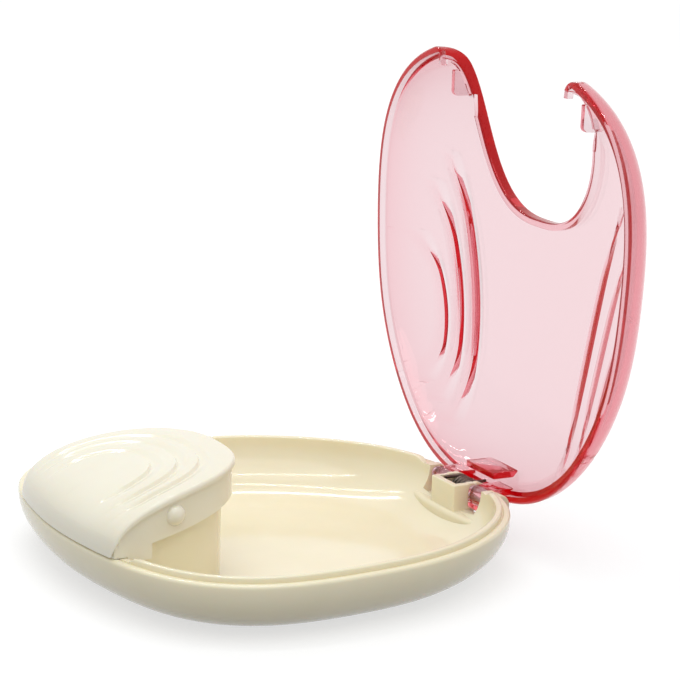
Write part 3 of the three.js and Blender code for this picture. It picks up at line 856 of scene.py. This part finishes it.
def tab():
    """Latch tab that hangs from the lid beside the notch, on the right."""
    x = notch_half(TAB_Y, 0, 0) + RIB_WIDTH
    bottom = dome_top(x, TAB_Y) - WALL - TAB_DEPTH
    start, end = TAB_Y - TAB_LENGTH / 2, TAB_Y + TAB_LENGTH / 2
    profile = arc(start + TAB_CORNER, bottom + TAB_CORNER, TAB_CORNER, 180, 270)
    profile += arc(end - TAB_ROUND, bottom + TAB_ROUND, TAB_ROUND, 270, 360)
    profile += [(end, RIM + DOME_HEIGHT), (start, RIM + DOME_HEIGHT)]
    return meet(prism_x(profile, x, x + TAB_WALL, TAB_EDGE), dome(LID_WALL / 2, WALL / 2))


def recess():
    """Recess beside the notch that the right-hand nub clicks into."""
    x = notch_half(NUB_Y, 0, 0)
    start = NUB_Y - RECESS_LENGTH / 2
    return round_box(x - WALL, x + RECESS_DEPTH, start, start + RECESS_LENGTH,
                     RIM, RIM + RECESS_RISE, RECESS_EDGE)


def arm():
    """Right-hand hinge arm, with its root under the lid's rim."""
    x0, x1 = BLOCK_HALF + GAP, BLOCK_HALF + GAP + ARM_WIDTH
    front, back, low = HINGE_Y - ARM_FRONT, HINGE_Y + ARM_RADIUS, HINGE_Z - ARM_RADIUS
    profile = arc(front + ARM_CORNER, low + ARM_CORNER, ARM_CORNER, 180, 270)
    profile += arc(back - ARM_CORNER, low + ARM_CORNER, ARM_CORNER, 270, 360)
    profile += arc(HINGE_Y, HINGE_Z, ARM_RADIUS, 0, ARM_TURN)[1:]
    profile += [(HINGE_Y + ARM_RADIUS / 2, LID_BASE), (HINGE_Y, LID_BASE)]
    profile += [(HINGE_Y, LID_BASE + WALL / 2), (front, LID_BASE + WALL / 2)]
    root = meet(round_box(x0, x1, front, BIG, LID_BASE, LID_BASE + WALL), dome(WELD, WELD))
    return join(prism_x(profile, x0, x1, ARM_EDGE), root)


def horn_plan():
    """Plan of all that is cut away in front: the notch, with each horn's end and rounded corner."""
    middle = (CORNER.x + HORN_ROUND, HORN_Y + HORN_ROUND)
    right = [(BIG, -BIG), (BIG, HORN_Y)] + arc(*middle, HORN_ROUND, 270, 180)
    right += [p for p in notch_curve(0, 0) if p[1] > middle[1] + WELD]
    return right + [(-x, y) for x, y in reversed(right) if x > 0]


def notch_cutter():
    """Prism of the notch that flares over both faces of the lid, which rounds the notch's edges."""
    plan = horn_plan()
    count = len(plan)
    normals = []
    for i, (x, y) in enumerate(plan):
        before, after = plan[i - 1], plan[(i + 1) % count]
        along = Vector((after[0] - before[0], after[1] - before[1])).normalized()
        normals.append(Vector((along.y, -along.x)))
    quarter = [math.pi / 2 * k / ROUND_STEPS for k in range(ROUND_STEPS + 1)]
    flare = [(NOTCH_ROUND * (1 - math.sin(t)), NOTCH_ROUND * (1 - math.cos(t))) for t in quarter]
    columns = []
    for (x, y), normal in zip(plan, normals):
        column = [(NOTCH_ROUND, -GAP)]
        for out, rise in flare:
            px, py = x + normal.x * out, y + normal.y * out
            under = dome_top(px, py, LID_INSET + RIB_DEPTH, WALL + RIB_DEPTH)
            column.append((out, under + rise - WELD))
        for out, drop in reversed(flare):
            px, py = x + normal.x * out, y + normal.y * out
            column.append((out, max(column[-1][1] + WELD, dome_top(px, py) + WELD - drop)))
        column.append((NOTCH_ROUND, BIG))
        columns.append([(x + normal.x * out, y + normal.y * out, z) for out, z in column])
    return loft([[column[k] for column in columns] for k in range(len(columns[0]))])


def lid():
    """The whole lid, turned to its open stop."""
    skin = cut(lid_skin(), *flutes(0, 0))
    hollow = cut(dome(LID_INSET, LID_PLATE, 0), *flutes(LID_INSET, LID_PLATE))
    rabbet = loft([ring(LID_WALL, 1, RIM), ring(LID_WALL, 1, LID_BASE + RABBET_DEPTH)])
    shell = cut(skin, hollow, rabbet)
    body = join(shell, notch_rib(), slab(), *mirrored(horn_foot), *mirrored(tab), *mirrored(arm))
    bore = bar_x(PIN_RADIUS + GAP, -SLOT_OUT, SLOT_OUT, HINGE_Y, HINGE_Z)
    reach = math.hypot(TORSION_RADIUS, TORSION_BACK) + TORSION_WIRE / 2 + GAP
    x0 = TORSION_HALF - LEG_NOTCH / 2
    leg_room = bar_x(reach, x0, x0 + LEG_NOTCH, HINGE_Y, HINGE_Z)
    body = cut(body, notch_cutter(), *mirrored(recess), bore, leg_room)
    turn = Matrix.Rotation(-OPEN_ANGLE, 4, "X")
    hinge = Matrix.Translation((0, HINGE_Y, HINGE_Z))
    body.data.transform(hinge @ turn @ hinge.inverted())
    return body


# Pin and springs

def hinge_pin():
    half = SLOT_OUT + CHEEK_WIDTH - 2 * GAP
    return bar_x(PIN_RADIUS, -half, half, HINGE_Y, HINGE_Z, PIN_EDGE)


def torsion_spring():
    """Coil round the pin, with a leg in front and a leg behind."""
    steps = TORSION_TURNS * COIL_STEPS
    path = [Vector((-TORSION_HALF, HINGE_Y - TORSION_FRONT, HINGE_Z + TORSION_RADIUS))]
    for i in range(steps + 1):
        a = math.pi / 2 - 2 * math.pi * i / COIL_STEPS
        path.append(Vector((TORSION_HALF * (2 * i / steps - 1),
                            HINGE_Y + TORSION_RADIUS * math.cos(a),
                            HINGE_Z + TORSION_RADIUS * math.sin(a))))
    path.append(Vector((TORSION_HALF, HINGE_Y + TORSION_BACK, HINGE_Z + TORSION_RADIUS)))
    return tube(path, TORSION_WIRE / 2)


def return_spring():
    """Coil round the tray's post, up to the underside of the button."""
    start = RIM - POST_DROP + GAP + RETURN_WIRE / 2
    end = dome_top(0, RETURN_Y + RETURN_RADIUS) - CAP_WALL - GAP - RETURN_WIRE
    steps = RETURN_TURNS * COIL_STEPS
    path = []
    for i in range(steps + 1):
        a = 2 * math.pi * i / COIL_STEPS
        path.append(Vector((RETURN_RADIUS * math.cos(a), RETURN_Y + RETURN_RADIUS * math.sin(a),
                            start + (end - start) * i / steps)))
    return tube(path, RETURN_WIRE / 2)


# Materials, with noise scales per metre, and depths in metres

NOISE_LOW = 0.3
NOISE_HIGH = 0.7

IVORY_DEEP = (0.86, 0.79, 0.57)
IVORY_PALE = (0.89, 0.82, 0.61)
# The button's ivory is the tray's plastic drawn paler and less yellow: painted light for the
# brighter light on the button's top
BUTTON_LIT_DEEP = (0.86, 0.81, 0.66)
BUTTON_LIT_PALE = (0.88, 0.84, 0.7)
PLASTIC_ROUGH = 0.07
PLASTIC_IOR = 1.5
CLOUD_SCALE = 60
GLOSS_SCALE = 300
GLOSS_SPREAD = 0.06
PEEL_SCALE = 900
PEEL_DEPTH = 0.00001
PEEL_STRENGTH = 0.25
SCATTER_WEIGHT = 0.25
SCATTER_RADII = (1.0, 0.75, 0.45)
SCATTER_DEPTH = 0.0015

RED_BASE = (0.86, 0.92, 0.92, 1)
RED_SHEEN = (1, 0.5, 0.5, 1)
RED_GLOSS_SCALE = 250
RED_SMOOTHEST = 0.01
RED_ROUGHEST = 0.03
RED_RIPPLE_SCALE = 120
RED_RIPPLE_DEPTH = 0.00002
RED_RIPPLE_STRENGTH = 0.15
RED_PASSED = (0.72, 0.03, 0.13, 1)
RED_DENSITY = 215
# Painted light: a faint red glow in the lid's volume that stands in for light scattered inside the
# plastic
RED_GLOW_LEVEL = 35.0
RED_GLOW_COLOUR = (1, 0.002, 0.012, 1)

PIN_DARK = (0.42, 0.42, 0.43)
PIN_PALE = (0.6, 0.6, 0.61)
PIN_ROUGH = 0.25
SPRING_DARK = (0.04, 0.033, 0.03)
SPRING_PALE = (0.2, 0.15, 0.12)
SPRING_ROUGH = 0.12
DRAWN_SCALE = (60, 2400, 2400)
DRAWN_DEPTH = 0.00001
DRAWN_STRENGTH = 0.3
STEEL_GLOSS_SCALE = 700
STEEL_GLOSS_SPREAD = 0.12


def new_material(name):
    material = bpy.data.materials.new(name)
    material.use_nodes = True
    nodes, links = material.node_tree.nodes, material.node_tree.links
    return material, nodes, links, nodes["Principled BSDF"]


def noise(nodes, links, scale, detail, low, high):
    """Object-space noise brought into a range."""
    place = nodes.new("ShaderNodeTexCoord")
    texture = nodes.new("ShaderNodeTexNoise")
    texture.inputs["Scale"].default_value = scale
    texture.inputs["Detail"].default_value = detail
    spread = nodes.new("ShaderNodeMapRange")
    spread.inputs["From Min"].default_value = NOISE_LOW
    spread.inputs["From Max"].default_value = NOISE_HIGH
    spread.inputs["To Min"].default_value = low
    spread.inputs["To Max"].default_value = high
    links.new(place.outputs["Object"], texture.inputs["Vector"])
    links.new(texture.outputs["Fac"], spread.inputs["Value"])
    return spread.outputs["Result"]


def tint(nodes, links, fac, first, second):
    """Colour between two, by a factor."""
    mix = nodes.new("ShaderNodeMix")
    mix.data_type = "RGBA"
    mix.inputs["A"].default_value = (*first, 1)
    mix.inputs["B"].default_value = (*second, 1)
    links.new(fac, mix.inputs["Factor"])
    return mix.outputs["Result"]


def bump(nodes, links, height, distance, strength):
    node = nodes.new("ShaderNodeBump")
    node.inputs["Distance"].default_value = distance
    node.inputs["Strength"].default_value = strength
    links.new(height, node.inputs["Height"])
    return node.outputs["Normal"]


def plastic(name, deep, pale, rough):
    """Glossy moulded plastic, faintly clouded, with a fine peel."""
    material, nodes, links, shader = new_material(name)
    cloud = noise(nodes, links, CLOUD_SCALE, detail=3, low=0, high=1)
    links.new(tint(nodes, links, cloud, deep, pale), shader.inputs["Base Color"])
    gloss = noise(nodes, links, GLOSS_SCALE, detail=4, low=rough, high=rough + GLOSS_SPREAD)
    links.new(gloss, shader.inputs["Roughness"])
    peel = noise(nodes, links, PEEL_SCALE, detail=2, low=0, high=1)
    links.new(bump(nodes, links, peel, PEEL_DEPTH, PEEL_STRENGTH), shader.inputs["Normal"])
    shader.inputs["IOR"].default_value = PLASTIC_IOR
    shader.inputs["Subsurface Weight"].default_value = SCATTER_WEIGHT
    shader.inputs["Subsurface Radius"].default_value = SCATTER_RADII
    shader.inputs["Subsurface Scale"].default_value = SCATTER_DEPTH
    return material


def red_plastic():
    """Clear red plastic: pale where thin, deep red where light goes a long way through it, with a
    painted red glow inside that stands in for light scattered in the plastic.
    """
    material, nodes, links, shader = new_material("red_plastic")
    shader.inputs["Base Color"].default_value = RED_BASE
    shader.inputs["Specular Tint"].default_value = RED_SHEEN
    shader.inputs["Transmission Weight"].default_value = 1.0
    shader.inputs["IOR"].default_value = PLASTIC_IOR
    gloss = noise(nodes, links, RED_GLOSS_SCALE, detail=3, low=RED_SMOOTHEST, high=RED_ROUGHEST)
    links.new(gloss, shader.inputs["Roughness"])
    ripple = bump(nodes, links, noise(nodes, links, RED_RIPPLE_SCALE, detail=2, low=0, high=1),
                  RED_RIPPLE_DEPTH, RED_RIPPLE_STRENGTH)
    links.new(ripple, shader.inputs["Normal"])
    volume = nodes.new("ShaderNodeVolumeAbsorption")
    volume.inputs["Color"].default_value = RED_PASSED
    volume.inputs["Density"].default_value = RED_DENSITY
    # Painted glow in the volume, standing in for light scattered inside the plastic
    painted_glow = nodes.new("ShaderNodeEmission")
    painted_glow.inputs["Color"].default_value = RED_GLOW_COLOUR
    painted_glow.inputs["Strength"].default_value = RED_GLOW_LEVEL
    both = nodes.new("ShaderNodeAddShader")
    links.new(volume.outputs["Volume"], both.inputs[0])
    links.new(painted_glow.outputs["Emission"], both.inputs[1])
    links.new(both.outputs[0], nodes["Material Output"].inputs["Volume"])
    return material


def steel(name, dark, pale, rough):
    """Drawn wire or rod, with fine streaks along X."""
    material, nodes, links, shader = new_material(name)
    place = nodes.new("ShaderNodeTexCoord")
    stretch = nodes.new("ShaderNodeMapping")
    stretch.inputs["Scale"].default_value = DRAWN_SCALE
    texture = nodes.new("ShaderNodeTexNoise")
    texture.inputs["Scale"].default_value = 1.0
    texture.inputs["Detail"].default_value = 4
    links.new(place.outputs["Object"], stretch.inputs["Vector"])
    links.new(stretch.outputs["Vector"], texture.inputs["Vector"])
    links.new(tint(nodes, links, texture.outputs["Fac"], dark, pale), shader.inputs["Base Color"])
    gloss = noise(nodes, links, STEEL_GLOSS_SCALE, detail=3, low=rough,
                  high=rough + STEEL_GLOSS_SPREAD)
    links.new(gloss, shader.inputs["Roughness"])
    drawn = bump(nodes, links, texture.outputs["Fac"], DRAWN_DEPTH, DRAWN_STRENGTH)
    links.new(drawn, shader.inputs["Normal"])
    shader.inputs["Metallic"].default_value = 1.0
    return material


def merge_points(data):
    """Merges points that lie on each other, so that no face is left without an area."""
    mesh = bmesh.new()
    mesh.from_mesh(data)
    bmesh.ops.remove_doubles(mesh, verts=mesh.verts, dist=POINT_GAP)
    mesh.to_mesh(data)
    mesh.free()


def show(body, name, rides, node, material, angle=SMOOTH_ANGLE):
    """Makes a finished piece of a body: metres, smooth shading, material, a parent empty for its
    body, and the imported part hidden.
    """
    body.name = name
    body.data.name = name
    merge_points(body.data)
    body.data.transform(Matrix.Scale(MM, 4))
    body.data.materials.clear()
    body.data.materials.append(material)
    body.data.shade_smooth()
    body.data.set_sharp_from_angle(angle=angle)
    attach(body, rides)
    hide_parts(node)
    return body


ivory = plastic("ivory_plastic", IVORY_DEEP, IVORY_PALE, PLASTIC_ROUGH)
# Paler copy of the tray's ivory for the button: painted light for its brighter top
lit_ivory = plastic("button_plastic", BUTTON_LIT_DEEP, BUTTON_LIT_PALE, PLASTIC_ROUGH)
red = red_plastic()
pin_steel = steel("pin_steel", PIN_DARK, PIN_PALE, PIN_ROUGH)
spring_steel = steel("spring_steel", SPRING_DARK, SPRING_PALE, SPRING_ROUGH)

show(tray(), "tray_shell", "tray", "base_tray", ivory)
show(button(), "button_cap", "button", "push_button", lit_ivory)
show(lid(), "lid_shell", "lid", "lid", red, FLUTE_ANGLE)
show(hinge_pin(), "pin_rod", "tray", "hinge_pin", pin_steel)
show(torsion_spring(), "hinge_coil", "tray", "lid_spring", spring_steel)
coil = show(return_spring(), "button_coil", "tray", "return_spring",
            spring_steel)
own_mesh(coil)


# Stage, light and camera, in metres

FLOOR_HALF = 6.0
FLOOR_GREY = 0.4
FLOOR_GLOW = 0.65
SKY_LEVEL = 0.57
SUN_LEVEL = 1.0
SUN_SPREAD = math.radians(60)
SUN_COLOUR = (0.95, 0.98, 1.0)
SUN_FROM = (0.4, -0.15, 1)
STRIP_HEIGHT = 0.6
STRIP_GLOW = 27.0
STRIPS = (
    {"start": (0.06, 0.12), "end": (-0.06, -0.32), "width": 0.009},
    {"start": (-0.15, 0.2), "end": (-0.5, -0.25), "width": 0.009},
    {"start": (-0.4, 0.25), "end": (-0.53, -0.1), "width": 0.025},
)

# Camera, as fitted to the photo: its middle and focal length are in pixels of the photo
TARGET = Vector((0, 0.020, 0.030))
AZIMUTH = math.radians(61.008)
ELEVATION = math.radians(14.97)
ROLL = math.radians(1.882)
DISTANCE = 0.568254
IMAGE_SIDE = 680
FOCAL_PIXELS = 2742.8
CENTRE_X = 358.337
CENTRE_Y = 410.175
SENSOR = 36
CLIP_START = 0.01


def seen_rays(nodes, links):
    """1 for rays that show a background: from the camera, off gloss or through the lid."""
    path = nodes.new("ShaderNodeLightPath")
    total = path.outputs["Is Camera Ray"]
    for name in ("Is Glossy Ray", "Is Transmission Ray"):
        add = nodes.new("ShaderNodeMath")
        add.operation = "MAXIMUM"
        links.new(total, add.inputs[0])
        links.new(path.outputs[name], add.inputs[1])
        total = add.outputs[0]
    return total


def make_floor():
    """Plain pale floor: it glows white for what looks at it, and keeps the object's shadow."""
    mesh = bpy.data.meshes.new("floor")
    s = FLOOR_HALF
    mesh.from_pydata([(-s, -s, 0), (s, -s, 0), (s, s, 0), (-s, s, 0)], [], [(0, 1, 2, 3)])
    floor = bpy.data.objects.new("floor", mesh)
    bpy.context.scene.collection.objects.link(floor)
    material = bpy.data.materials.new("floor")
    material.use_nodes = True
    nodes, links = material.node_tree.nodes, material.node_tree.links
    nodes.remove(nodes["Principled BSDF"])
    diffuse = nodes.new("ShaderNodeBsdfDiffuse")
    diffuse.inputs["Color"].default_value = (FLOOR_GREY, FLOOR_GREY, FLOOR_GREY, 1)
    glow = nodes.new("ShaderNodeEmission")
    glow.inputs["Strength"].default_value = FLOOR_GLOW
    both = nodes.new("ShaderNodeAddShader")
    links.new(diffuse.outputs[0], both.inputs[0])
    links.new(glow.outputs[0], both.inputs[1])
    mix = nodes.new("ShaderNodeMixShader")
    links.new(seen_rays(nodes, links), mix.inputs[0])
    links.new(diffuse.outputs[0], mix.inputs[1])
    links.new(both.outputs[0], mix.inputs[2])
    links.new(mix.outputs[0], nodes["Material Output"].inputs["Surface"])
    mesh.materials.append(material)


def make_sky():
    """Even white surroundings, brighter as a background than as a light."""
    world = bpy.data.worlds.new("sky")
    bpy.context.scene.world = world
    world.use_nodes = True
    nodes, links = world.node_tree.nodes, world.node_tree.links
    back = nodes["Background"]
    back.inputs["Color"].default_value = (1, 1, 1, 1)
    level = nodes.new("ShaderNodeMapRange")
    level.inputs["To Min"].default_value = SKY_LEVEL
    level.inputs["To Max"].default_value = 1.0
    links.new(seen_rays(nodes, links), level.inputs["Value"])
    links.new(level.outputs["Result"], back.inputs["Strength"])


def make_strip(name, start, end, width):
    """Slim lamp high over the object, from one plan point to another."""
    middle, along = (Vector(start) + Vector(end)) / 2, Vector(end) - Vector(start)
    data = bpy.data.lights.new(name, "AREA")
    data.shape = "RECTANGLE"
    data.size, data.size_y = along.length, width
    data.energy = STRIP_GLOW * math.pi * along.length * width
    light = bpy.data.objects.new(name, data)
    light.location = (middle.x, middle.y, STRIP_HEIGHT)
    light.rotation_euler = (0, 0, math.atan2(along.y, along.x))
    bpy.context.scene.collection.objects.link(light)


def make_sun(direction):
    """Even soft light from above, so that the floor is as bright everywhere."""
    data = bpy.data.lights.new("top", "SUN")
    data.energy = SUN_LEVEL
    data.color = SUN_COLOUR
    data.angle = SUN_SPREAD
    light = bpy.data.objects.new("top", data)
    light.rotation_euler = Vector(direction).to_track_quat("Z", "Y").to_euler()
    bpy.context.scene.collection.objects.link(light)


def make_camera():
    """Camera of the photo."""
    flat = math.cos(ELEVATION)
    back = Vector((math.sin(AZIMUTH) * flat, -math.cos(AZIMUTH) * flat, math.sin(ELEVATION)))
    right = Vector((math.cos(AZIMUTH), math.sin(AZIMUTH), 0))
    up = back.cross(right)
    rolled_right = right * math.cos(ROLL) + up * math.sin(ROLL)
    rolled_up = up * math.cos(ROLL) - right * math.sin(ROLL)
    data = bpy.data.cameras.new("camera")
    data.sensor_width = SENSOR
    data.lens = SENSOR * FOCAL_PIXELS / IMAGE_SIDE
    data.shift_x = (IMAGE_SIDE / 2 - CENTRE_X) / IMAGE_SIDE
    data.shift_y = (CENTRE_Y - IMAGE_SIDE / 2) / IMAGE_SIDE
    data.clip_start = CLIP_START
    camera = bpy.data.objects.new("camera", data)
    turn = Matrix((rolled_right, rolled_up, back)).transposed().to_4x4()
    camera.matrix_world = Matrix.Translation(TARGET + back * DISTANCE) @ turn
    bpy.context.scene.collection.objects.link(camera)
    bpy.context.scene.camera = camera


make_floor()
make_sky()
make_sun(SUN_FROM)
for number, strip in enumerate(STRIPS, 1):
    make_strip(f"strip_{number}", **strip)
make_camera()
bpy.context.scene.view_settings.view_transform = "Standard"
